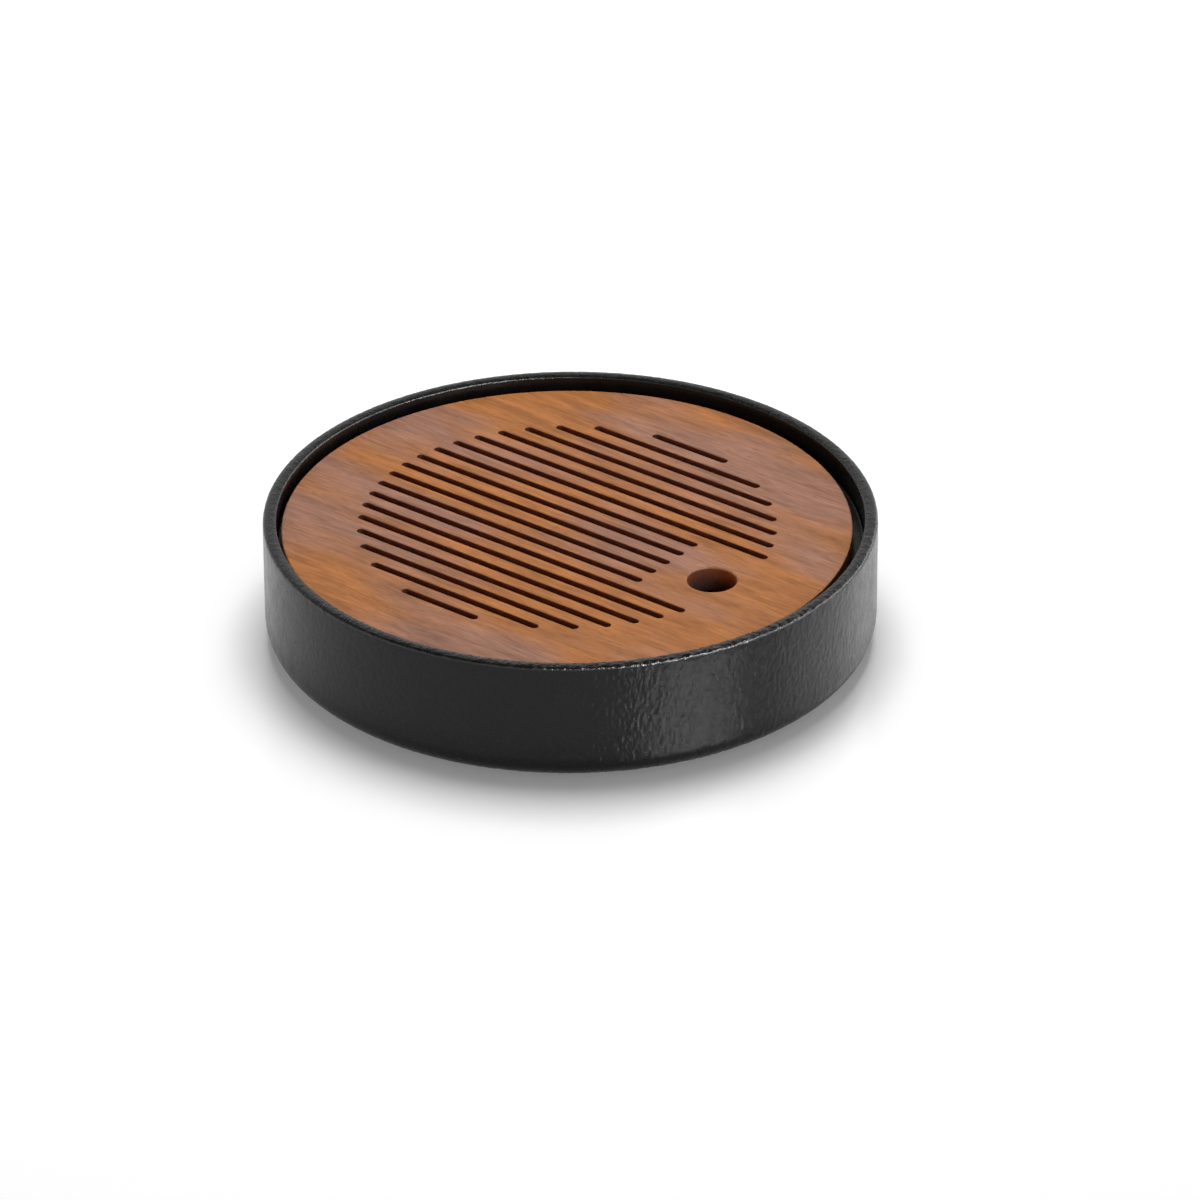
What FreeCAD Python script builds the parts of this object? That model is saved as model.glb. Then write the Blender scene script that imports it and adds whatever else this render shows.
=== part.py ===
# Round tea tray: a glazed stoneware basin, and a slotted board that lies loose on the ledge inside its rim.
# Millimetres, +Z up. The origin is on the table, under the middle of the basin. X runs along the slots,
# and the finger hole is at the board's +X end.

import FreeCAD, Part
import math
import os

from FreeCAD import Vector

# Basin: outside
basin_diameter = 260.0
basin_height = 55.0
base_corner_radius = 11.0

# Basin: rim and the ledge that carries the board
rim_wall = 5.8
rim_edge_radius = 2.8
ledge_depth = 12.0
ledge_width = 9.0
ledge_edge_radius = 1.0
ledge_corner_radius = 1.0

# Basin: reservoir and underside
reservoir_draft_degrees = 3.0
reservoir_cove_radius = 10.0
floor_thickness = 6.5
base_ring_width = 34.0
base_recess_depth = 1.5
base_recess_slope_run = 4.0

# Foot pads, glued into pockets in the underside
foot_diameter = 20.0
foot_thickness = 2.5
foot_edge_radius = 0.6
foot_pocket_depth = 1.0
foot_pocket_clearance = 0.3
foot_bearing_degrees = 45.0

# Board: a rebate under its edge leaves a lip that lies on the ledge, and the full thickness goes down inside
# the ledge. It lies off the middle by a share of its clearance, as a loose board does
board_thickness = 12.0
board_lip = 7.0
board_clearance = 3.5
board_rebate_clearance = 5.0
board_edge_radius = 0.8
board_shift_x_share = -0.3
board_shift_y_share = -0.3

# Board: slots, whose corners lie on a circle. As many fit as are not too short
slot_pitch = 9.5
slot_width = 3.7
slot_field_diameter = 179.2
shortest_slot = 30.0

# Board: finger hole, and the plain wood between it and the slots that end before it
finger_hole_diameter = 21.0
finger_hole_offset = 77.0
finger_hole_edge = 1.0
finger_hole_margin = 12.0

# Battens under the board, across the slots
batten_offset = 45.0
batten_width = 14.0
batten_height = 8.0
batten_edge = 1.5
batten_end_inset = 2.0

# Countersunk wood screws through the battens
screw_diameter = 3.0
screw_length = 16.0
screw_head_diameter = 6.0
screw_head_height = 1.8
screw_head_sink = 0.3
screw_tip_length = 2.0
screw_tip_diameter = 1.0
screw_clearance = 0.2
screw_seat_gap = 0.05
screw_pilot_spare = 0.4
outer_screw_inset = 12.0
inner_screw_strip = 2

# Every cut runs past the face that it opens by this much
overrun = 1.0

# Heights above the table
base_z = foot_thickness - foot_pocket_depth
floor_z = base_z + floor_thickness
rim_z = base_z + basin_height
ledge_z = rim_z - ledge_depth
board_top_z = ledge_z + board_lip
board_bottom_z = board_top_z - board_thickness
batten_bottom_z = board_bottom_z - batten_height

# Radii from the middle of the basin
outer_radius = basin_diameter / 2
rim_inner_radius = outer_radius - rim_wall
ledge_inner_radius = rim_inner_radius - ledge_width
draft = math.tan(math.radians(reservoir_draft_degrees))
floor_radius = ledge_inner_radius - (ledge_z - floor_z) * draft
base_flat_radius = outer_radius - base_corner_radius
base_recess_radius = base_flat_radius - base_ring_width
foot_circle_radius = base_flat_radius - base_ring_width / 2

# The board's own middle
board_radius = rim_inner_radius - board_clearance
board_rebate_radius = ledge_inner_radius - board_rebate_clearance
board_x = board_shift_x_share * board_clearance
board_y = board_shift_y_share * board_clearance
batten_end_radius = board_rebate_radius - batten_end_inset
slot_field_radius = slot_field_diameter / 2
outermost_slot_reach = math.sqrt(slot_field_radius ** 2 - (shortest_slot / 2) ** 2) - slot_width / 2
slots_each_side = math.floor(outermost_slot_reach / slot_pitch)

up = Vector(0, 0, 1)


def rounded_outline(corners):
    """Closed wire in the XZ plane through corners (x, z, radius), each rounded by its radius."""
    count = len(corners)
    points = [Vector(x, 0, z) for x, z, radius in corners]
    starts = []
    ends = []
    arcs = []
    for i in range(count):
        corner = points[i]
        radius = corners[i][2]
        back = (points[i - 1] - corner).normalize()
        ahead = (points[(i + 1) % count] - corner).normalize()
        half_angle = back.getAngle(ahead) / 2
        reach = radius / math.tan(half_angle)
        starts.append(corner + back * reach)
        ends.append(corner + ahead * reach)
        if radius:
            to_centre = (back + ahead).normalize()
            middle = corner + to_centre * (radius / math.sin(half_angle) - radius)
            arcs.append(Part.Arc(starts[i], middle, ends[i]).toShape())
        else:
            arcs.append(None)
    edges = []
    for i in range(count):
        if arcs[i]:
            edges.append(arcs[i])
        edges.append(Part.makeLine(ends[i], starts[(i + 1) % count]))
    return Part.Wire(edges)


def turned(corners):
    """Solid of revolution about Z from corners (radius, z, rounding)."""
    return Part.Face(rounded_outline(corners)).revolve(Vector(0, 0, 0), up, 360)


def disc(radius, low, high, x, y):
    return Part.makeCylinder(radius, high - low, Vector(x, y, low))


def basin_section():
    """Half section of the basin, from the axis under the floor, round the outside and back inside."""
    recess_z = base_z + base_recess_depth
    return [
        (0, recess_z, 0),
        (base_recess_radius, recess_z, 0),
        (base_recess_radius + base_recess_slope_run, base_z, 0),
        (outer_radius, base_z, base_corner_radius),
        (outer_radius, rim_z, rim_edge_radius),
        (rim_inner_radius, rim_z, rim_edge_radius),
        (rim_inner_radius, ledge_z, ledge_corner_radius),
        (ledge_inner_radius, ledge_z, ledge_edge_radius),
        (floor_radius, floor_z, reservoir_cove_radius),
        (0, floor_z, 0),
    ]


def foot_places():
    """Name and middle of each foot pad: front is -Y, right is +X."""
    reach_x = foot_circle_radius * math.cos(math.radians(foot_bearing_degrees))
    reach_y = foot_circle_radius * math.sin(math.radians(foot_bearing_degrees))
    places = []
    for row, side_y in (("front", -1), ("back", 1)):
        for column, side_x in (("left", -1), ("right", 1)):
            places.append(("foot_pad_" + row + "_" + column, side_x * reach_x, side_y * reach_y))
    return places


def make_basin():
    pocket_radius = foot_diameter / 2 + foot_pocket_clearance
    pockets = []
    for name, x, y in foot_places():
        pockets.append(disc(pocket_radius, base_z - overrun, base_z + foot_pocket_depth, x, y))
    return turned(basin_section()).cut(pockets)


def make_foot(x, y):
    radius = foot_diameter / 2
    pad = turned([
        (0, 0, 0),
        (radius, 0, foot_edge_radius),
        (radius, foot_thickness, 0),
        (0, foot_thickness, 0),
    ])
    pad.translate(Vector(x, y, 0))
    return pad


def slot_ends(y):
    """Both ends of the slot at y. A slot in line with the finger hole's margin ends before the hole."""
    half_width = slot_width / 2
    reach = math.sqrt(slot_field_radius ** 2 - (abs(y) + half_width) ** 2)
    clear = finger_hole_diameter / 2 + finger_hole_margin
    if abs(y) - half_width < clear:
        return -reach, finger_hole_offset - clear
    return -reach, reach


def slot_cutter(y):
    """Round-ended bar that cuts one slot right through the board."""
    radius = slot_width / 2
    low, high = slot_ends(y)
    first = low + radius
    last = high - radius
    z = board_bottom_z - overrun
    height = board_thickness + 2 * overrun
    tip = Vector(high, y, z)
    tail = Vector(low, y, z)
    corners = [
        Vector(first, y - radius, z),
        Vector(last, y - radius, z),
        Vector(last, y + radius, z),
        Vector(first, y + radius, z),
    ]
    outline = Part.Wire([
        Part.makeLine(corners[0], corners[1]),
        Part.Arc(corners[1], tip, corners[2]).toShape(),
        Part.makeLine(corners[2], corners[3]),
        Part.Arc(corners[3], tail, corners[0]).toShape(),
    ])
    return Part.Face(outline).extrude(up * height)


def finger_hole_cutter():
    """Bar for the finger hole, flared at both ends by its eased edges."""
    radius = finger_hole_diameter / 2
    flare = radius + finger_hole_edge
    cutter = turned([
        (0, board_bottom_z - overrun, 0),
        (flare, board_bottom_z - overrun, 0),
        (flare, board_bottom_z, 0),
        (radius, board_bottom_z + finger_hole_edge, 0),
        (radius, board_top_z - finger_hole_edge, 0),
        (flare, board_top_z, 0),
        (flare, board_top_z + overrun, 0),
        (0, board_top_z + overrun, 0),
    ])
    cutter.translate(Vector(finger_hole_offset, 0, 0))
    return cutter


def screw_places():
    """Middle of each screw: two near the batten's ends, and two in strips of wood between slots."""
    end_y = math.sqrt(batten_end_radius ** 2 - batten_offset ** 2) - outer_screw_inset
    inner_y = (inner_screw_strip + 1 / 2) * slot_pitch
    places = []
    for x in (-batten_offset, batten_offset):
        for y in (-end_y, -inner_y, inner_y, end_y):
            places.append((x, y))
    return places


def screw_shape(gap, extra_length):
    """Wood screw on the Z axis, head down. A gap and an extra length turn it into its own pilot hole."""
    head_z = batten_bottom_z + screw_head_sink
    tip_z = head_z + screw_length + extra_length
    shank = screw_diameter / 2 + gap
    return turned([
        (0, head_z, 0),
        (screw_head_diameter / 2 + gap, head_z, 0),
        (shank, head_z + screw_head_height, 0),
        (shank, tip_z - screw_tip_length, 0),
        (screw_tip_diameter / 2 + gap, tip_z, 0),
        (0, tip_z, 0),
    ])


def screw_hole():
    """Countersunk clearance hole through a batten, open at the batten's underside."""
    head_z = batten_bottom_z + screw_head_sink
    mouth = screw_head_diameter / 2 + screw_seat_gap
    shank = screw_diameter / 2 + screw_clearance
    return turned([
        (0, batten_bottom_z - overrun, 0),
        (mouth, batten_bottom_z - overrun, 0),
        (mouth, head_z, 0),
        (shank, head_z + screw_head_height, 0),
        (shank, board_bottom_z + overrun, 0),
        (0, board_bottom_z + overrun, 0),
    ])


def at_each_screw(shape):
    copies = []
    for x, y in screw_places():
        copy = shape.copy()
        copy.translate(Vector(x, y, 0))
        copies.append(copy)
    return copies


def board_blank():
    """Round board with eased edges and the rebate that leaves its lip."""
    return turned([
        (0, board_bottom_z, 0),
        (board_rebate_radius, board_bottom_z, board_edge_radius),
        (board_rebate_radius, ledge_z, 0),
        (board_radius, ledge_z, board_edge_radius),
        (board_radius, board_top_z, board_edge_radius),
        (0, board_top_z, 0),
    ])


def make_board():
    slots = [slot_cutter(index * slot_pitch) for index in range(-slots_each_side, slots_each_side + 1)]
    pilot_holes = at_each_screw(screw_shape(screw_seat_gap, screw_pilot_spare))
    return board_blank().cut(slots + [finger_hole_cutter()] + pilot_holes)


def make_batten(x):
    """Bar along Y with eased lower edges, whose ends follow the board's round rebate."""
    half_width = batten_width / 2
    section = rounded_outline([
        (x - half_width, board_bottom_z, 0),
        (x - half_width, batten_bottom_z, batten_edge),
        (x + half_width, batten_bottom_z, batten_edge),
        (x + half_width, board_bottom_z, 0),
    ])
    bar = Part.Face(section).extrude(Vector(0, 2 * batten_end_radius, 0))
    bar.translate(Vector(0, -batten_end_radius, 0))
    bar = bar.common(disc(batten_end_radius, batten_bottom_z - overrun, board_bottom_z + overrun, 0, 0))
    return bar.cut(at_each_screw(screw_hole()))


def make_screws():
    return Part.makeCompound(at_each_screw(screw_shape(0, 0)))


def make_parts():
    """Every piece by its name. The board and what is fixed to it lie where the board lies."""
    parts = {"basin": make_basin()}
    for name, x, y in foot_places():
        parts[name] = make_foot(x, y)
    lifted = {
        "slotted_board": make_board(),
        "batten_left": make_batten(-batten_offset),
        "batten_right": make_batten(batten_offset),
        "batten_screws": make_screws(),
    }
    for name, shape in lifted.items():
        shape.translate(Vector(board_x, board_y, 0))
        parts[name] = shape
    return parts


os.makedirs("parts", exist_ok=True)
for name, shape in make_parts().items():
    shape.exportStep("parts/" + name + ".step")
    print(name, len(shape.Solids), "solids", round(shape.Volume), "mm3", shape.isValid())
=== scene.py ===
"""Looks of a round tea tray: a black glazed basin with a slotted brown board that lifts out of it."""

import math

import bmesh
import bpy
from mathutils import Matrix, Vector, geometry, noise


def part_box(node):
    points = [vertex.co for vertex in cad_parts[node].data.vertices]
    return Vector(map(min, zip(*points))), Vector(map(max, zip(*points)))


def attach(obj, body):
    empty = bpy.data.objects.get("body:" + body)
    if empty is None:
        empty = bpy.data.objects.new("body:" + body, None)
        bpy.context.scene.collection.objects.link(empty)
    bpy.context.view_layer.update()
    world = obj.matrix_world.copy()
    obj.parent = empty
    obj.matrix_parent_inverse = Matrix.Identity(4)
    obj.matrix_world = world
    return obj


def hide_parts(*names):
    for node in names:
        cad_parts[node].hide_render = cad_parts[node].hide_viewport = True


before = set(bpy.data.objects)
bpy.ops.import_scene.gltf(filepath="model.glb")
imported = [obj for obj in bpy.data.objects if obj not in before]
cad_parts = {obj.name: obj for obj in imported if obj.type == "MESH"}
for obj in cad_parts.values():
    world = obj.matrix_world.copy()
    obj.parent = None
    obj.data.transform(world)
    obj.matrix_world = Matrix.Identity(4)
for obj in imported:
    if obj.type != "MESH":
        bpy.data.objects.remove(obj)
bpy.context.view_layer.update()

MM = 0.001
PER_MM = 1000.0

# Most values of a noise lie between these.
noise_low = 0.3
noise_high = 0.7

# Basin, in metres. The outer sizes come from the frame, and the board's lip lies on the ledge.
basin_low, basin_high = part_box("basin")
board_low, board_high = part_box("slotted_board")
board_lip = 7.0 * MM
basin_radius = (basin_high.x - basin_low.x) / 2
base_z = basin_low.z
rim_z = basin_high.z
ledge_z = board_high.z - board_lip
base_corner_radius = 11.0 * MM
base_ring_width = 34.0 * MM
base_recess_depth = 1.5 * MM
base_recess_slope_run = 4.0 * MM
rim_wall = 5.8 * MM
rim_outer_edge_radius = 1.4 * MM
rim_inner_edge_radius = 0.8 * MM
rim_crown = 0.5 * MM
ledge_width = 9.0 * MM
ledge_edge_radius = 1.0 * MM
ledge_corner_radius = 1.0 * MM
floor_thickness = 6.5 * MM
reservoir_draft = math.radians(3)
reservoir_cove_radius = 10.0 * MM
foot_pocket_depth = 1.0 * MM
foot_pocket_clearance = 0.3 * MM

rim_inner_radius = basin_radius - rim_wall
ledge_inner_radius = rim_inner_radius - ledge_width
floor_z = base_z + floor_thickness
floor_radius = ledge_inner_radius - (ledge_z - floor_z) * math.tan(reservoir_draft)
recess_z = base_z + base_recess_depth
base_flat_radius = basin_radius - base_corner_radius
base_recess_radius = base_flat_radius - base_ring_width

# Wrinkled glaze: its relief goes inwards from the solid's surface. Wrinkles are deepest at one side, and
# fade out towards the rim, where pebbles are deepest. The seed fixes how the wrinkles sway.
wrinkle_width = 1.2 * MM
wrinkle_height = 2.4 * MM
wrinkle_depth = 0.09 * MM
deepest_wrinkle = 0.43 * MM
deepest_bearing = math.radians(-35)
deepest_spread = 5
wrinkle_sway = 1.2
wrinkle_sway_size = 2
wrinkle_seed = 3
pebble_size = 1.8 * MM
pebble_depth = 0.06 * MM
rim_pebble_depth = 0.2 * MM
deepest_rim_pebble = 0.7 * MM
rim_relief_height = 5.0 * MM
rim_relief_start = rim_z - rim_relief_height

# Rows and columns of the basin's mesh. Its columns gather where the wrinkles are deepest.
fine_columns = 1080
column_gathering = 0.4
coarse_columns = 180
base_arc_rows = 8
wall_rows = 56
edge_rows = 4
crown_rows = 6
inner_wall_rows = 5
ledge_arc_rows = 3
cove_rows = 6
reservoir_rows = 3
pocket_columns = 48
sharp_edge_angle = math.radians(65)

# Board, in metres. Its place and outer sizes come from the frame.
board_middle = (board_low + board_high) / 2
board_radius = (board_high.x - board_low.x) / 2
board_edge_radius = 0.8 * MM
board_rebate_clearance = 5.0 * MM
board_rebate_radius = ledge_inner_radius - board_rebate_clearance
board_rebate_corner_radius = 0.5 * MM
slot_pitch = 9.5 * MM
slot_width = 3.7 * MM
slot_field_radius = 89.6 * MM
slots_each_side = 9
slot_edge_radius = 0.35 * MM
finger_hole_radius = 10.5 * MM
finger_hole_offset = 77.0 * MM
finger_hole_margin = 12.0 * MM
finger_hole_edge_radius = 1.0 * MM

# Rows and columns of the board's mesh
board_columns = 360
slot_end_columns = 14
hole_columns = 72
board_arc_rows = 5
slot_arc_rows = 3
hole_arc_rows = 5

# Batten screws, in metres. Their places come from the battens' boxes and from the slots.
screw_head_radius = 3.0 * MM
screw_head_height = 1.8 * MM
screw_head_sink = 0.3 * MM
screw_shank_radius = 1.5 * MM
screw_length = 16.0 * MM
screw_tip_length = 2.0 * MM
screw_tip_radius = 0.5 * MM
outer_screw_inset = 12.0 * MM
inner_screw_strip = 2
recess_arms = 4
recess_reach = 1.7 * MM
recess_half_width = 0.45 * MM
recess_depth = 1.2 * MM
recess_bottom_share = 0.6
screw_turn = math.radians(52)
screw_columns = 32

# Camera: the photograph's angle, distance and framing
camera_azimuth = math.radians(38.34)
camera_elevation = math.radians(28.946)
camera_distance = 3.4261
camera_lens = 243.33
camera_sensor = 36.0
camera_roll = math.radians(-0.238)
camera_target_height = 55.0 * MM
aim_right = 12.28 * MM
aim_up = -35.08 * MM
camera_clip_start = 0.1
camera_clip_end = 50.0


def new_material(name):
    """Material with an empty tree but for its surface shader and output: (material, tree, shader)."""
    material = bpy.data.materials.new(name)
    material.use_nodes = True
    tree = material.node_tree
    return material, tree, tree.nodes["Principled BSDF"]


def add_node(tree, kind, **inputs):
    """Shader node of that kind. Inputs are set by name: a socket is linked, a value is written."""
    node = tree.nodes.new("ShaderNode" + kind)
    for name, value in inputs.items():
        feed(tree, value, node.inputs[name.replace("_", " ")])
    return node


def feed(tree, value, socket):
    """Links a socket, or writes a value, to an input socket."""
    if isinstance(value, bpy.types.NodeSocket):
        tree.links.new(value, socket)
    else:
        socket.default_value = value


def millimetres(tree):
    """The piece's own coordinates in millimetres."""
    place = tree.nodes.new("ShaderNodeTexCoord").outputs["Object"]
    return add_node(tree, "Mapping", Vector=place, Scale=(PER_MM, PER_MM, PER_MM)).outputs["Vector"]


def noise_at(tree, place, size, detail=2.0, roughness=0.5, start=(0, 0, 0)):
    """Noise whose features are about size millimetres along each axis."""
    scale = tuple(1 / length for length in size)
    stretched = add_node(tree, "Mapping", Vector=place, Scale=scale, Location=start).outputs["Vector"]
    return add_node(tree, "TexNoise", Vector=stretched, Scale=1.0, Detail=detail, Roughness=roughness)


def remap(tree, value, low, high, to_low, to_high):
    """Value brought from the range low to high into the range to_low to to_high."""
    node = add_node(tree, "MapRange", Value=value)
    for name, number in (("From Min", low), ("From Max", high), ("To Min", to_low), ("To Max", to_high)):
        node.inputs[name].default_value = number
    return node.outputs["Result"]


def math_node(tree, operation, first, second):
    node = tree.nodes.new("ShaderNodeMath")
    node.operation = operation
    feed(tree, first, node.inputs[0])
    feed(tree, second, node.inputs[1])
    return node.outputs["Value"]


def mix_colours(tree, share, first, second, blend="MIX"):
    node = tree.nodes.new("ShaderNodeMix")
    node.data_type = "RGBA"
    node.blend_type = blend
    feed(tree, share, node.inputs["Factor"])
    colour_inputs = [socket for socket in node.inputs if socket.type == "RGBA"]
    feed(tree, first, colour_inputs[0])
    feed(tree, second, colour_inputs[1])
    return [socket for socket in node.outputs if socket.type == "RGBA"][0]


def bump(tree, shader, height, depth, strength):
    node = add_node(tree, "Bump", Height=height, Strength=strength, Distance=depth)
    tree.links.new(node.outputs["Normal"], shader.inputs["Normal"])


def glaze_material(name, dullest, gloss, grain_depth):
    """Black glaze, at most that dull, with reflections that strong and a fine grain that deep."""
    mottle_size = (14, 14, 14)
    grain_size = (0.8, 0.8, 0.8)
    cloud_size = (5, 5, 8)
    roughness_spread = 0.08
    dark = (0.0022, 0.0022, 0.0023, 1)
    light = (0.0055, 0.0054, 0.0056, 1)
    material, tree, shader = new_material(name)
    place = millimetres(tree)
    mottle = noise_at(tree, place, mottle_size, detail=3).outputs["Fac"]
    colour = mix_colours(tree, mottle, dark, light)
    tree.links.new(colour, shader.inputs["Base Color"])
    grain = noise_at(tree, place, grain_size).outputs["Fac"]
    clouds = noise_at(tree, place, cloud_size).outputs["Fac"]
    roughness = remap(tree, clouds, noise_low, noise_high, dullest - roughness_spread, dullest)
    tree.links.new(roughness, shader.inputs["Roughness"])
    shader.inputs["Specular IOR Level"].default_value = gloss
    bump(tree, shader, grain, depth=grain_depth, strength=1.0)
    return material


def clay_material():
    speck_size = (0.8, 0.8, 0.8)
    dark = (0.03, 0.026, 0.024, 1)
    light = (0.075, 0.066, 0.06, 1)
    material, tree, shader = new_material("bare_clay")
    speck = noise_at(tree, millimetres(tree), speck_size, detail=3, roughness=0.7).outputs["Fac"]
    colour = mix_colours(tree, speck, dark, light)
    tree.links.new(colour, shader.inputs["Base Color"])
    shader.inputs["Roughness"].default_value = 0.85
    shader.inputs["Specular IOR Level"].default_value = 0.3
    bump(tree, shader, speck, depth=0.15 * MM, strength=0.4)
    return material


def wood_material(name, along_y, orange, rosy, pore_dark):
    """Oiled wood, partly more orange and partly more rosy, with its grain along X, or along Y."""
    sway_size = (60, 20, 20)
    sway_reach = (0, 8, 8)
    patch_size = (110, 36, 36)
    patch_start = (3.9, 24.0, 0)
    patch_low, patch_high = 0.42, 0.62
    band_size = (40, 8, 8)
    streak_size = (22, 1.6, 1.6)
    fibre_size = (7, 0.7, 0.7)
    band_share, streak_share, fibre_share = 0.42, 0.38, 0.2
    tone_low, tone_high = 0.36, 0.64
    darkest, lightest = 0.66, 1.34
    pore_size = (5, 0.45, 0.45)
    pore_low, pore_high = 0.6, 0.72
    pore_strength = 0.5
    glossiest, dullest = 0.45, 0.6
    fibre_relief_share = 0.4
    material, tree, shader = new_material(name)
    place = millimetres(tree)
    if along_y:
        turned = add_node(tree, "Mapping", Vector=place)
        turned.inputs["Rotation"].default_value = (0, 0, math.radians(90))
        place = turned.outputs["Vector"]
    sway = noise_at(tree, place, sway_size).outputs["Color"]
    shift = tree.nodes.new("ShaderNodeVectorMath")
    shift.operation = "MULTIPLY_ADD"
    tree.links.new(sway, shift.inputs[0])
    shift.inputs[1].default_value = sway_reach
    tree.links.new(place, shift.inputs[2])
    grain_place = shift.outputs["Vector"]
    patches = noise_at(tree, place, patch_size, start=patch_start).outputs["Fac"]
    bands = noise_at(tree, grain_place, band_size, detail=3, roughness=0.6).outputs["Fac"]
    streaks = noise_at(tree, grain_place, streak_size, detail=2, roughness=0.6).outputs["Fac"]
    fibres = noise_at(tree, grain_place, fibre_size, detail=3, roughness=0.6).outputs["Fac"]
    pores = noise_at(tree, grain_place, pore_size, detail=1).outputs["Fac"]
    tone = math_node(tree, "MULTIPLY", bands, band_share)
    tone = math_node(tree, "ADD", tone, math_node(tree, "MULTIPLY", streaks, streak_share))
    tone = math_node(tree, "ADD", tone, math_node(tree, "MULTIPLY", fibres, fibre_share))
    colour = mix_colours(tree, remap(tree, patches, patch_low, patch_high, 0, 1), orange, rosy)
    shade = remap(tree, tone, tone_low, tone_high, darkest, lightest)
    colour = mix_colours(tree, 1.0, colour, shade, "MULTIPLY")
    pore_mask = remap(tree, pores, pore_low, pore_high, 0, pore_strength)
    colour = mix_colours(tree, pore_mask, colour, pore_dark)
    tree.links.new(colour, shader.inputs["Base Color"])
    roughness = remap(tree, fibres, noise_low, noise_high, glossiest, dullest)
    tree.links.new(roughness, shader.inputs["Roughness"])
    shader.inputs["Specular IOR Level"].default_value = 0.18
    fibre_relief = math_node(tree, "MULTIPLY", fibres, fibre_relief_share)
    relief = math_node(tree, "SUBTRACT", fibre_relief, pore_mask)
    bump(tree, shader, relief, depth=0.08 * MM, strength=0.3)
    return material


def shaded_cut_wall_material(name, dark, light):
    """Dark brown wood on the walls of the slots or of the finger hole, with painted shade that darkens it
    deeper down and lightens its top.
    """
    streak_size = (6, 0.8, 2.5)
    streak_low, streak_high = 0.35, 0.65
    bottom_shade, top_shade = 0.25, 1.5
    material, tree, shader = new_material(name)
    place = millimetres(tree)
    streaks = noise_at(tree, place, streak_size, detail=3, roughness=0.6).outputs["Fac"]
    colour = mix_colours(tree, remap(tree, streaks, streak_low, streak_high, 0, 1), dark, light)
    # Painted shade: the walls darken towards the bottom of the board and lighten near its top.
    height = add_node(tree, "SeparateXYZ", Vector=place).outputs["Z"]
    bottom = board_low.z * PER_MM
    top = board_high.z * PER_MM
    shade = remap(tree, height, bottom, top, bottom_shade, top_shade)
    colour = mix_colours(tree, 1.0, colour, shade, "MULTIPLY")
    tree.links.new(colour, shader.inputs["Base Color"])
    shader.inputs["Roughness"].default_value = 0.75
    shader.inputs["Specular IOR Level"].default_value = 0.15
    bump(tree, shader, streaks, depth=0.05 * MM, strength=0.3)
    return material


def steel_material():
    turning_size = (0.6, 0.6, 0.1)
    glossiest, dullest = 0.26, 0.4
    material, tree, shader = new_material("screw_steel")
    shader.inputs["Base Color"].default_value = (0.62, 0.61, 0.59, 1)
    shader.inputs["Metallic"].default_value = 1.0
    turning = noise_at(tree, millimetres(tree), turning_size).outputs["Fac"]
    roughness = remap(tree, turning, noise_low, noise_high, glossiest, dullest)
    tree.links.new(roughness, shader.inputs["Roughness"])
    return material


def silicone_material():
    dust_size = (1.5, 1.5, 1.5)
    clean = (0.022, 0.022, 0.022, 1)
    dusty = (0.04, 0.04, 0.039, 1)
    material, tree, shader = new_material("silicone")
    dust = noise_at(tree, millimetres(tree), dust_size, detail=3, roughness=0.6).outputs["Fac"]
    colour = mix_colours(tree, dust, clean, dusty)
    tree.links.new(colour, shader.inputs["Base Color"])
    shader.inputs["Roughness"].default_value = 0.7
    shader.inputs["Specular IOR Level"].default_value = 0.35
    bump(tree, shader, dust, depth=0.05 * MM, strength=0.2)
    return material


class Skin:
    """Points, normals, faces and finishes of one mesh in the making."""

    def __init__(self):
        self.points = []
        self.normals = []
        self.faces = []
        self.finishes = []

    def ring(self, places, normals=None):
        """Adds points and gives back their numbers."""
        first = len(self.points)
        self.points.extend(places)
        self.normals.extend(normals or [])
        return list(range(first, len(self.points)))

    def add_face(self, corners, finish):
        self.faces.append(corners)
        self.finishes.append(finish)

    def bridge(self, one, other, finish):
        """Quads between two closed rings with as many points."""
        for i in range(len(one)):
            j = (i + 1) % len(one)
            self.add_face((one[i], one[j], other[j], other[i]), finish)

    def bridge_all(self, rings, finish):
        for one, other in zip(rings, rings[1:]):
            self.bridge(one, other, finish)

    def fan(self, ring, centre, finish):
        for i in range(len(ring)):
            self.add_face((ring[i], ring[(i + 1) % len(ring)], centre), finish)

    def fill(self, loops, finish):
        """Level face inside the first loop, less what the other loops enclose."""
        numbers = []
        outlines = []
        for loop in loops:
            outlines.append(range(len(numbers), len(numbers) + len(loop)))
            numbers.extend(loop)
        flat = [self.points[number].xy for number in numbers]
        triangles_less_holes = 2
        closest = 0.001 * MM
        made = geometry.delaunay_2d_cdt(flat, [], outlines, triangles_less_holes, closest)
        triangles, sources = made[2], made[3]
        for triangle in triangles:
            self.add_face([numbers[sources[corner][0]] for corner in triangle], finish)

    def make(self, name, materials):
        """Object with this mesh, faces turned outwards."""
        mesh = bpy.data.meshes.new(name)
        mesh.from_pydata(self.points, [], self.faces)
        mesh.polygons.foreach_set("material_index", self.finishes)
        shape = bmesh.new()
        shape.from_mesh(mesh)
        bmesh.ops.recalc_face_normals(shape, faces=shape.faces)
        shape.to_mesh(mesh)
        shape.free()
        mesh.shade_smooth()
        if self.normals:
            mesh.normals_split_custom_set_from_vertices(self.normals)
        else:
            mesh.set_sharp_from_angle(angle=sharp_edge_angle)
        for material in materials:
            mesh.materials.append(material)
        piece = bpy.data.objects.new(name, mesh)
        bpy.context.scene.collection.objects.link(piece)
        return piece


def run_points(start, end, rows):
    """Section points from start to end, both included."""
    return [start.lerp(end, i / rows) for i in range(rows + 1)]


def arc_points(centre, radius, first, last, rows):
    """Section points on an arc about centre, angles in degrees from +radius towards +z."""
    points = []
    for i in range(rows + 1):
        angle = math.radians(first + (last - first) * i / rows)
        points.append(centre + radius * Vector((math.cos(angle), math.sin(angle))))
    return points


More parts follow.
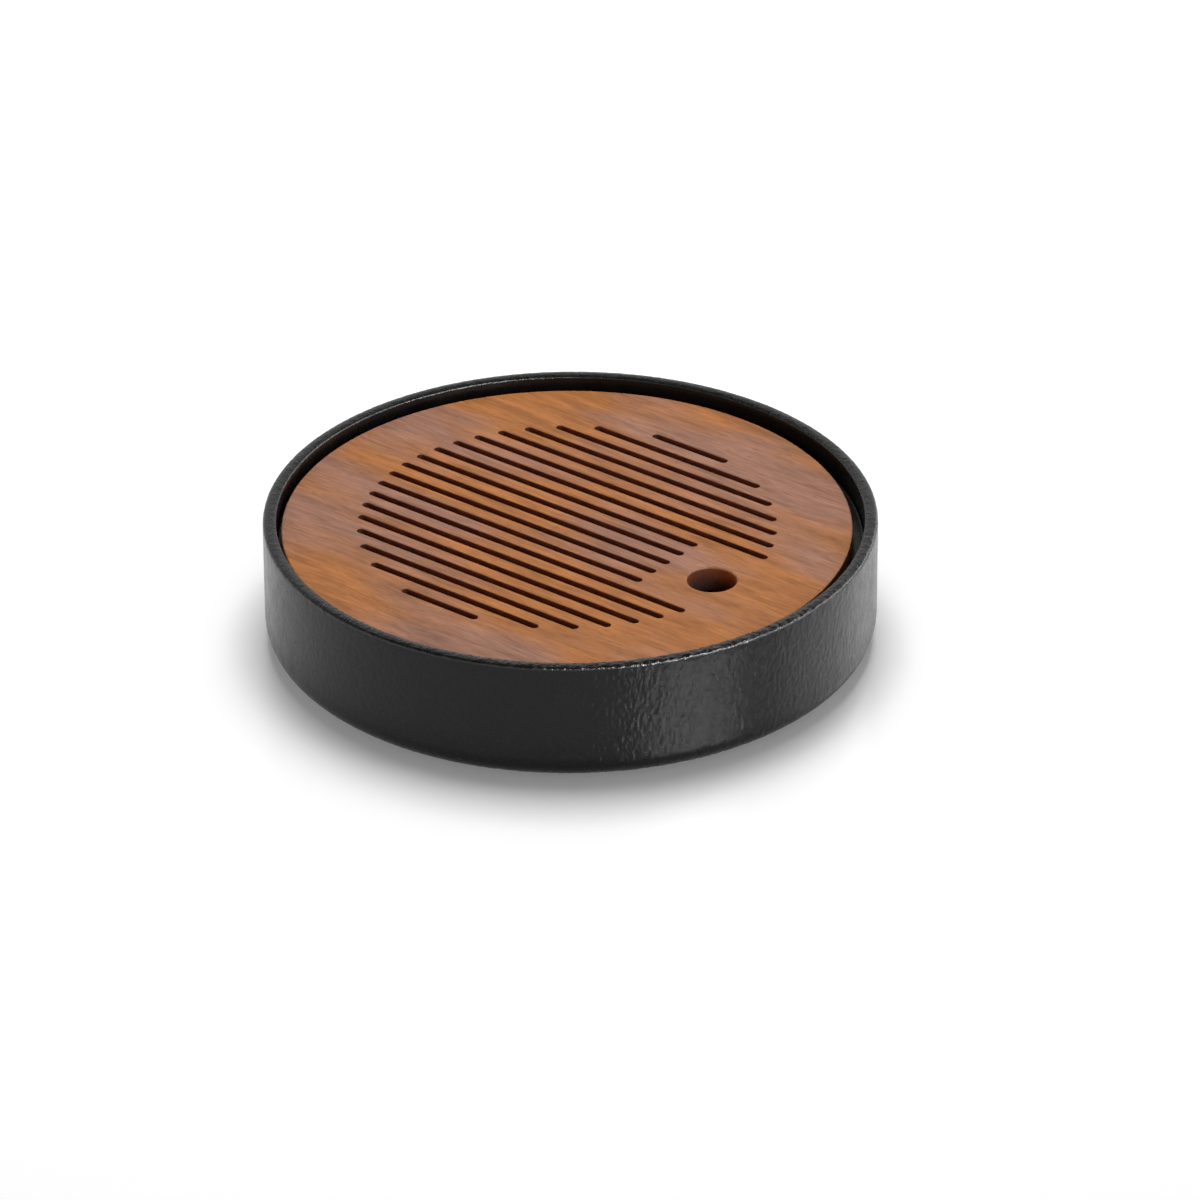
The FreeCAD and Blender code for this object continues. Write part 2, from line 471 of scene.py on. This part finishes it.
def joined(*stretches):
    """One list of section points from stretches that share their end points."""
    points = list(stretches[0])
    for stretch in stretches[1:]:
        points.extend(stretch[1:])
    return points


def even_bearings(columns):
    return [2 * math.pi * i / columns for i in range(columns)]


def gathered_bearings(columns):
    """Bearings that lie closest where the wrinkles are deepest."""
    return [deepest_bearing + even - column_gathering * math.sin(even) for even in even_bearings(columns)]


def circle(radius, z, bearings, x=0.0, y=0.0):
    return [Vector((x + radius * math.cos(angle), y + radius * math.sin(angle), z)) for angle in bearings]


def section_normals(points):
    """Unit normal at each section point, pointing to the right of the way along it."""
    normals = []
    for i in range(len(points)):
        along = points[min(i + 1, len(points) - 1)] - points[max(i - 1, 0)]
        normals.append(Vector((along.y, -along.x)).normalized())
    return normals


def glaze_relief(place):
    """Depth of the glaze under the solid's surface at a place: wrinkles on the wall, and fine pebbles."""
    spot = Vector((place.x / wrinkle_width, place.y / wrinkle_width, place.z / wrinkle_height))
    spot += wrinkle_sway * noise.noise_vector(spot / wrinkle_sway_size)
    wrinkle = (1 - noise.noise(spot)) / 2
    pebble = (1 - noise.noise(place / pebble_size)) / 2
    bearing = math.atan2(place.y, place.x)
    nearness = ((1 + math.cos(bearing - deepest_bearing)) / 2) ** deepest_spread
    depth = wrinkle_depth + (deepest_wrinkle - wrinkle_depth) * nearness
    rise = min(max((place.z - rim_relief_start) / (rim_z - rim_relief_start), 0), 1)
    rim_depth = rim_pebble_depth + (deepest_rim_pebble - rim_pebble_depth) * nearness
    return (1 - rise) * (depth * wrinkle + pebble_depth * pebble) + rise * rim_depth * pebble


def crown_edge(crown_radius, edge_radius):
    """Where a rounded rim edge meets the crown: its centre's offset and rise from the crown's centre, and
    the crown's lean there in degrees."""
    offset = rim_wall / 2 - edge_radius
    reach = crown_radius - edge_radius
    return offset, math.sqrt(reach ** 2 - offset ** 2), math.degrees(math.asin(offset / reach))


def outer_section():
    """Glazed section of the basin, from under its base edge up over the rim and down to the ledge."""
    base_centre = Vector((basin_radius - base_corner_radius, base_z + base_corner_radius))
    crown_radius = ((rim_wall / 2) ** 2 + rim_crown ** 2) / (2 * rim_crown)
    crown_centre = Vector(((basin_radius + rim_inner_radius) / 2, rim_z - crown_radius))
    outer_offset, outer_rise, outer_lean = crown_edge(crown_radius, rim_outer_edge_radius)
    inner_offset, inner_rise, inner_lean = crown_edge(crown_radius, rim_inner_edge_radius)
    outer_edge = crown_centre + Vector((outer_offset, outer_rise))
    inner_edge = crown_centre + Vector((-inner_offset, inner_rise))
    corner = Vector((rim_inner_radius - ledge_corner_radius, ledge_z + ledge_corner_radius))
    base_arc = arc_points(base_centre, base_corner_radius, -90, 0, base_arc_rows)
    outer_arc = arc_points(outer_edge, rim_outer_edge_radius, 0, 90 - outer_lean, edge_rows)
    crown_arc = arc_points(crown_centre, crown_radius, 90 - outer_lean, 90 + inner_lean, crown_rows)
    inner_arc = arc_points(inner_edge, rim_inner_edge_radius, 90 + inner_lean, 180, edge_rows)
    corner_arc = arc_points(corner, ledge_corner_radius, 0, -90, ledge_arc_rows)
    return joined(
        base_arc,
        run_points(base_arc[-1], outer_arc[0], wall_rows),
        outer_arc,
        crown_arc,
        inner_arc,
        run_points(inner_arc[-1], corner_arc[0], inner_wall_rows),
        corner_arc,
    )


def reservoir_section():
    """From the ledge's inner edge down the drafted wall and round the cove to the floor."""
    lean = math.degrees(reservoir_draft)
    edge_reach = ledge_edge_radius * math.tan(math.radians(45 - lean / 2))
    edge = Vector((ledge_inner_radius + edge_reach, ledge_z - ledge_edge_radius))
    cove_reach = reservoir_cove_radius * math.tan(math.radians(45 - lean / 2))
    cove = Vector((floor_radius - cove_reach, floor_z + reservoir_cove_radius))
    edge_arc = arc_points(edge, ledge_edge_radius, 90, 180 - lean, ledge_arc_rows)
    cove_arc = arc_points(cove, reservoir_cove_radius, -lean, -90, cove_rows)
    return joined(edge_arc, run_points(edge_arc[-1], cove_arc[0], reservoir_rows), cove_arc)


def foot_places():
    """Middle and radius of each foot pad, from its box: (x, y, radius)."""
    places = []
    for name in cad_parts:
        if name.startswith("foot_pad"):
            low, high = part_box(name)
            places.append(((low.x + high.x) / 2, (low.y + high.y) / 2, (high.x - low.x) / 2))
    return places


def turn(skin, section, bearings, relief=None):
    """Rings of a section turned about Z. Relief sinks each point but the end rows' along its normal."""
    rings = []
    normals = section_normals(section)
    for row, (point, normal) in enumerate(zip(section, normals)):
        places = []
        for place in circle(point.x, point.y, bearings):
            if relief and 0 < row < len(section) - 1:
                outward = Vector((place.x, place.y, 0)).normalized() * normal.x
                place = place - relief(place) * (outward + Vector((0, 0, normal.y)))
            places.append(place)
        rings.append(skin.ring(places))
    return rings


def make_basin():
    glaze, rim_glaze, clay = 0, 1, 2
    noise.seed_set(wrinkle_seed)
    skin = Skin()
    outside = turn(skin, outer_section(), gathered_bearings(fine_columns), glaze_relief)
    rim_start = base_arc_rows + wall_rows
    rim_end = rim_start + edge_rows + crown_rows + edge_rows
    skin.bridge_all(outside[:rim_start + 1], glaze)
    skin.bridge_all(outside[rim_start:rim_end + 1], rim_glaze)
    skin.bridge_all(outside[rim_end:], glaze)
    inside = turn(skin, reservoir_section(), even_bearings(coarse_columns))
    skin.bridge_all(inside, glaze)
    skin.fill([outside[-1], inside[0]], glaze)
    skin.fan(inside[-1], skin.ring([Vector((0, 0, floor_z))])[0], glaze)
    under = turn(skin, [
        Vector((base_recess_radius + base_recess_slope_run, base_z)),
        Vector((base_recess_radius, recess_z)),
    ], even_bearings(coarse_columns))
    skin.bridge_all(under, clay)
    skin.fan(under[-1], skin.ring([Vector((0, 0, recess_z))])[0], clay)
    pockets = []
    for x, y, foot_radius in foot_places():
        radius = foot_radius + foot_pocket_clearance
        bearings = even_bearings(pocket_columns)
        mouth = skin.ring(circle(radius, base_z, bearings, x, y))
        roof = skin.ring(circle(radius, base_z + foot_pocket_depth, bearings, x, y))
        skin.bridge(mouth, roof, clay)
        skin.fill([roof], clay)
        pockets.append(mouth)
    skin.fill([outside[0], under[0]] + pockets, clay)
    basin = skin.make("glazed_basin", [
        glaze_material("black_glaze", dullest=0.31, gloss=0.225, grain_depth=0.05 * MM),
        glaze_material("rim_glaze", dullest=0.33, gloss=0.45, grain_depth=0.3 * MM),
        clay_material(),
    ])
    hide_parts("basin")
    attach(basin, "basin")


def slot_ends(y):
    """Ends of the slot at y from the board's middle. Those beside the finger hole end before it."""
    half_width = slot_width / 2
    reach = math.sqrt(slot_field_radius ** 2 - (abs(y) + half_width) ** 2)
    clear = finger_hole_radius + finger_hole_margin
    if abs(y) - half_width < clear:
        return -reach, finger_hole_offset - clear
    return -reach, reach


def round_bar(start, end, radius, end_columns):
    """Outline of a bar with round ends along X: (point, outward direction) pairs. Start and end are the
    middles of its ends; a circle has them in one place."""
    outline = []
    for middle, first in ((end, -90), (start, 90)):
        for i in range(end_columns + 1):
            angle = math.radians(first + 180 * i / end_columns)
            outward = Vector((math.cos(angle), math.sin(angle), 0))
            outline.append((middle + radius * outward, outward))
    return outline


def disc_outline(middle, radius, columns):
    outline = []
    for i in range(columns):
        angle = 2 * math.pi * i / columns
        outward = Vector((math.cos(angle), math.sin(angle), 0))
        outline.append((middle + radius * outward, outward))
    return outline


def eased_section(ease, rows):
    """Section of a plain wall of the board with eased edges, from bottom to top: (outward, z) points."""
    lower = arc_points(Vector((-ease, board_low.z + ease)), ease, -90, 0, rows)
    upper = arc_points(Vector((-ease, board_high.z - ease)), ease, 0, 90, rows)
    return lower + upper


def lipped_section(ease, rows):
    """Section of the board's rim: up the rebate, out under the lip, and up its side."""
    rebate = board_rebate_radius - board_radius
    corner = board_rebate_corner_radius
    lower = arc_points(Vector((rebate - ease, board_low.z + ease)), ease, -90, 0, rows)
    inner = arc_points(Vector((rebate + corner, ledge_z - corner)), corner, 180, 90, rows)
    outer = arc_points(Vector((-ease, ledge_z + ease)), ease, -90, 0, rows)
    upper = arc_points(Vector((-ease, board_high.z - ease)), ease, 0, 90, rows)
    return lower + inner + outer + upper


def board_wall(skin, outline, section, side, top_rows, edge_finish, wall_finish):
    """Wall of the board: a section along an outline. Side is 1 for the rim and -1 for a cut-out. The eased
    edge at its top has a finish of its own. Gives back the top loop and the bottom loop."""
    section_directions = section_normals(section)
    section_directions[0] = Vector((0, -1))
    section_directions[-1] = Vector((0, 1))
    rings = []
    for step, direction in zip(section, section_directions):
        places = []
        normals = []
        for point, outward in outline:
            place = point + side * step.x * outward
            places.append(Vector((place.x, place.y, step.y)))
            normals.append(side * direction.x * outward + Vector((0, 0, direction.y)))
        rings.append(skin.ring(places, normals))
    skin.bridge_all(rings[:-top_rows], wall_finish)
    skin.bridge_all(rings[-top_rows - 1:], edge_finish)
    return rings[-1], rings[0]


def make_board():
    wood, slot_wall, hole_wall = 0, 1, 2
    skin = Skin()
    middle = Vector((board_middle.x, board_middle.y, 0))
    rim = disc_outline(middle, board_radius, board_columns)
    section = lipped_section(board_edge_radius, board_arc_rows)
    loops = [board_wall(skin, rim, section, 1, board_arc_rows, wood, wood)]
    section = eased_section(slot_edge_radius, slot_arc_rows)
    for index in range(-slots_each_side, slots_each_side + 1):
        y = index * slot_pitch
        low, high = slot_ends(y)
        half_width = slot_width / 2
        start = middle + Vector((low + half_width, y, 0))
        end = middle + Vector((high - half_width, y, 0))
        outline = round_bar(start, end, half_width, slot_end_columns)
        loops.append(board_wall(skin, outline, section, -1, slot_arc_rows, wood, slot_wall))
    hole = disc_outline(middle + Vector((finger_hole_offset, 0, 0)), finger_hole_radius, hole_columns)
    section = eased_section(finger_hole_edge_radius, hole_arc_rows)
    loops.append(board_wall(skin, hole, section, -1, hole_arc_rows, wood, hole_wall))
    skin.fill([top for top, bottom in loops], wood)
    skin.fill([bottom for top, bottom in loops], wood)
    orange = (0.4, 0.152, 0.046, 1)
    rosy = (0.322, 0.158, 0.104, 1)
    pore_dark = (0.17, 0.06, 0.02, 1)
    # Slot and hole walls: dark brown, with painted shade deeper down added by their material.
    slot_dark = (0.08, 0.012, 0.003, 1)
    slot_light = (0.15, 0.026, 0.006, 1)
    hole_dark = (0.2, 0.042, 0.006, 1)
    hole_light = (0.29, 0.064, 0.009, 1)
    board = skin.make("wooden_board", [
        wood_material("board_wood", False, orange, rosy, pore_dark),
        shaded_cut_wall_material("slot_wall", slot_dark, slot_light),
        shaded_cut_wall_material("hole_wall", hole_dark, hole_light),
    ])
    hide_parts("slotted_board")
    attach(board, "board")


def screw_places():
    """Middle of each screw's head: two near the ends of each batten, and two in strips between slots."""
    places = []
    inner_y = (inner_screw_strip + 1 / 2) * slot_pitch
    for name in ("batten_left", "batten_right"):
        low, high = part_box(name)
        middle = (low + high) / 2
        offset = abs(middle.x - board_middle.x)
        end_radius = math.hypot(offset - (high.x - low.x) / 2, (high.y - low.y) / 2)
        end_y = math.sqrt(end_radius ** 2 - offset ** 2) - outer_screw_inset
        for y in (-end_y, -inner_y, inner_y, end_y):
            places.append(Vector((middle.x, middle.y + y, low.z + screw_head_sink)))
    return places


def cross_outline(middle, share, heading):
    """Outline of a screw's cross recess, at a share of its full size, turned to a heading."""
    reach = recess_reach * share
    half_width = recess_half_width * share
    points = []
    for arm in range(recess_arms):
        towards_arm = Matrix.Rotation(heading + 2 * math.pi * arm / recess_arms, 3, "Z")
        for x, y in ((half_width, -half_width), (reach, -half_width), (reach, half_width)):
            points.append(middle + towards_arm @ Vector((x, y, 0)))
    return points


def make_screws():
    """Countersunk screws, heads down, each turned a little further than the one before."""
    steel = 0
    skin = Skin()
    for index, place in enumerate(screw_places()):
        section = (
            (screw_head_radius, 0),
            (screw_shank_radius, screw_head_height),
            (screw_shank_radius, screw_length - screw_tip_length),
            (screw_tip_radius, screw_length),
        )
        rings = []
        for radius, rise in section:
            bearings = even_bearings(screw_columns)
            rings.append(skin.ring(circle(radius, place.z + rise, bearings, place.x, place.y)))
        skin.bridge_all(rings, steel)
        skin.fill([rings[-1]], steel)
        floor = place + Vector((0, 0, recess_depth))
        mouth = skin.ring(cross_outline(place, 1, index * screw_turn))
        bottom = skin.ring(cross_outline(floor, recess_bottom_share, index * screw_turn))
        skin.bridge(mouth, bottom, steel)
        skin.fill([bottom], steel)
        skin.fill([rings[0], mouth], steel)
    screws = skin.make("batten_screw_set", [steel_material()])
    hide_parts("batten_screws")
    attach(screws, "board")


def dress_node(name, material):
    """Gives a node of the frame its material."""
    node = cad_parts[name]
    for slot in node.material_slots:
        slot.material = material


def dress_frame_nodes():
    orange = (0.3, 0.12, 0.04, 1)
    rosy = (0.26, 0.12, 0.07, 1)
    pore_dark = (0.12, 0.045, 0.018, 1)
    batten_wood = wood_material("batten_wood", True, orange, rosy, pore_dark)
    for name in ("batten_left", "batten_right"):
        dress_node(name, batten_wood)
    silicone = silicone_material()
    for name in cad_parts:
        if name.startswith("foot_pad"):
            dress_node(name, silicone)


def make_floor():
    """Pale floor that reads white where nothing shades it, with a painted shadow close round the tray,
    seen from above only.
    """
    half_side = 6.0
    pale = (0.9, 0.9, 0.9, 1)
    polish = 0.17
    mesh = bpy.data.meshes.new("floor")
    corners = [Vector((x, y, 0)) * half_side for x, y in ((-1, -1), (1, -1), (1, 1), (-1, 1))]
    mesh.from_pydata(corners, [], [(0, 1, 2, 3)])
    floor = bpy.data.objects.new("floor", mesh)
    bpy.context.scene.collection.objects.link(floor)
    material = bpy.data.materials.new("pale_floor")
    material.use_nodes = True
    tree = material.node_tree
    tree.nodes.clear()
    polished = add_node(tree, "BsdfPrincipled", Base_Color=pale, Roughness=polish)
    glow = add_node(tree, "Emission", Color=(1, 1, 1, 1), Strength=floor_glow(tree))
    lit = add_node(tree, "AddShader")
    tree.links.new(polished.outputs[0], lit.inputs[0])
    tree.links.new(glow.outputs[0], lit.inputs[1])
    clear = add_node(tree, "BsdfTransparent")
    below = tree.nodes.new("ShaderNodeNewGeometry").outputs["Backfacing"]
    one_sided = add_node(tree, "MixShader", Fac=below)
    tree.links.new(lit.outputs[0], one_sided.inputs[1])
    tree.links.new(clear.outputs[0], one_sided.inputs[2])
    output = tree.nodes.new("ShaderNodeOutputMaterial")
    tree.links.new(one_sided.outputs[0], output.inputs["Surface"])
    mesh.materials.append(material)


def floor_glow(tree):
    """Strength of the glow that keeps the floor white: little of it right beside the tray, which paints a
    shadow round the tray's foot.
    """
    near, far = 0.13, 0.185
    painted_shadow_strength, far_strength = 0.12, 0.29
    distance = tree.nodes.new("ShaderNodeVectorMath")
    distance.operation = "LENGTH"
    tree.links.new(tree.nodes.new("ShaderNodeTexCoord").outputs["Object"], distance.inputs[0])
    # Painted shadow: the glow is dimmest beside the tray and reaches full strength further out.
    strength = remap(tree, distance.outputs["Value"], near, far, painted_shadow_strength, far_strength)
    return math_node(tree, "MULTIPLY", strength, seen_directly(tree))


def seen_directly(tree):
    """1 for camera, mirror and see-through rays, 0 for the light that falls on other things."""
    path = tree.nodes.new("ShaderNodeLightPath")
    glossy = math_node(tree, "MAXIMUM", path.outputs["Is Camera Ray"], path.outputs["Is Glossy Ray"])
    return math_node(tree, "MAXIMUM", glossy, path.outputs["Is Transmission Ray"])


def make_world():
    """Low pale walls under a dark ceiling."""
    walls, ceiling = 0.95, 0.05
    walls_top, ceiling_start = 0.4, 0.58
    world = bpy.data.worlds.new("studio")
    world.use_nodes = True
    bpy.context.scene.world = world
    tree = world.node_tree
    direction = tree.nodes.new("ShaderNodeTexCoord").outputs["Generated"]
    rise = add_node(tree, "SeparateXYZ", Vector=direction).outputs["Z"]
    strength = remap(tree, rise, walls_top, ceiling_start, walls, ceiling)
    background = tree.nodes["Background"]
    background.inputs["Color"].default_value = (1, 1, 1, 1)
    tree.links.new(strength, background.inputs["Strength"])


def towards(azimuth, elevation):
    """Direction from the tray to what stands at that azimuth and elevation."""
    level = math.cos(elevation)
    return Vector((math.sin(azimuth) * level, -math.cos(azimuth) * level, math.sin(elevation)))


def view_axes():
    """Right, up and back directions of the photograph's camera."""
    back = towards(camera_azimuth, camera_elevation)
    right = Vector((math.cos(camera_azimuth), math.sin(camera_azimuth), 0))
    return right, back.cross(right), back


def add_softbox(name, bearing, elevation, distance, width, height, power, lights, gleams):
    """Soft light that faces the tray. Its bearing is in degrees to the right of the camera's. It lights
    surfaces, or gleams in glossy ones, or does both."""
    data = bpy.data.lights.new(name, "AREA")
    data.shape = "RECTANGLE"
    data.size = width
    data.size_y = height
    data.energy = power
    direction = towards(camera_azimuth + math.radians(bearing), math.radians(elevation))
    lamp = bpy.data.objects.new(name, data)
    lamp.location = Vector((0, 0, rim_z)) + distance * direction
    lamp.rotation_euler = direction.to_track_quat("Z", "Y").to_euler()
    lamp.visible_diffuse = lights
    lamp.visible_glossy = gleams
    bpy.context.scene.collection.objects.link(lamp)


def add_lights():
    """Wide soft light from above and behind, and two softboxes that gleam in the glaze."""
    add_softbox(
        "top_light", bearing=172, elevation=77, distance=1.5,
        width=0.75, height=0.9, power=19.7, lights=True, gleams=False,
    )
    add_softbox(
        "front_right_light", bearing=43, elevation=29, distance=1.2,
        width=0.6, height=0.42, power=34, lights=False, gleams=True,
    )
    add_softbox(
        "right_light", bearing=112, elevation=29, distance=1.5,
        width=1.5, height=0.6, power=20, lights=False, gleams=True,
    )


def add_camera():
    right, up, back = view_axes()
    target = Vector((0, 0, camera_target_height))
    data = bpy.data.cameras.new("camera")
    data.sensor_width = camera_sensor
    data.lens = camera_lens
    data.clip_start = camera_clip_start
    data.clip_end = camera_clip_end
    camera = bpy.data.objects.new("camera", data)
    place = target + camera_distance * back
    aim = target + aim_right * right + aim_up * up
    look = (aim - place).to_track_quat("-Z", "Y").to_matrix() @ Matrix.Rotation(camera_roll, 3, "Z")
    camera.matrix_world = Matrix.Translation(place) @ look.to_4x4()
    bpy.context.scene.collection.objects.link(camera)
    bpy.context.scene.camera = camera


make_basin()
make_board()
make_screws()
dress_frame_nodes()
make_floor()
make_world()
add_lights()
add_camera()
bpy.context.scene.view_settings.view_transform = "Standard"
